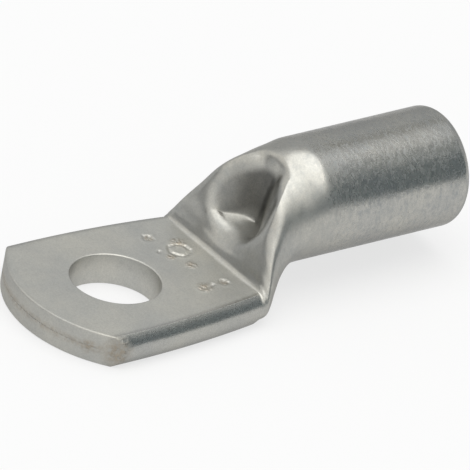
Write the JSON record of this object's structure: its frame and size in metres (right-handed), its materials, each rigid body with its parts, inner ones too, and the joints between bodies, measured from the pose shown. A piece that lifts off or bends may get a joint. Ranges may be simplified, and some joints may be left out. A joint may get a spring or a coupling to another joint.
{
  "type": "tubular cable lug",
  "caption": "Tubular cable lug: a flat palm with a bolt hole, a dished neck and an open round barrel for a stripped conductor.",
  "frame": {"origin": "centre of the bolt hole on the underside of the palm", "axes": "+Z along the bolt hole, away from the surface that the palm is bolted to; +X along the lug, from the palm towards the mouth of the barrel"},
  "size_m": [0.045, 0.0182, 0.0129],
  "materials": {
    "tinned_copper": "satin tin plating on copper tube"
  },
  "bodies": {
    "root": {"lug": "tinned_copper"}
  },
  "joints": []
}
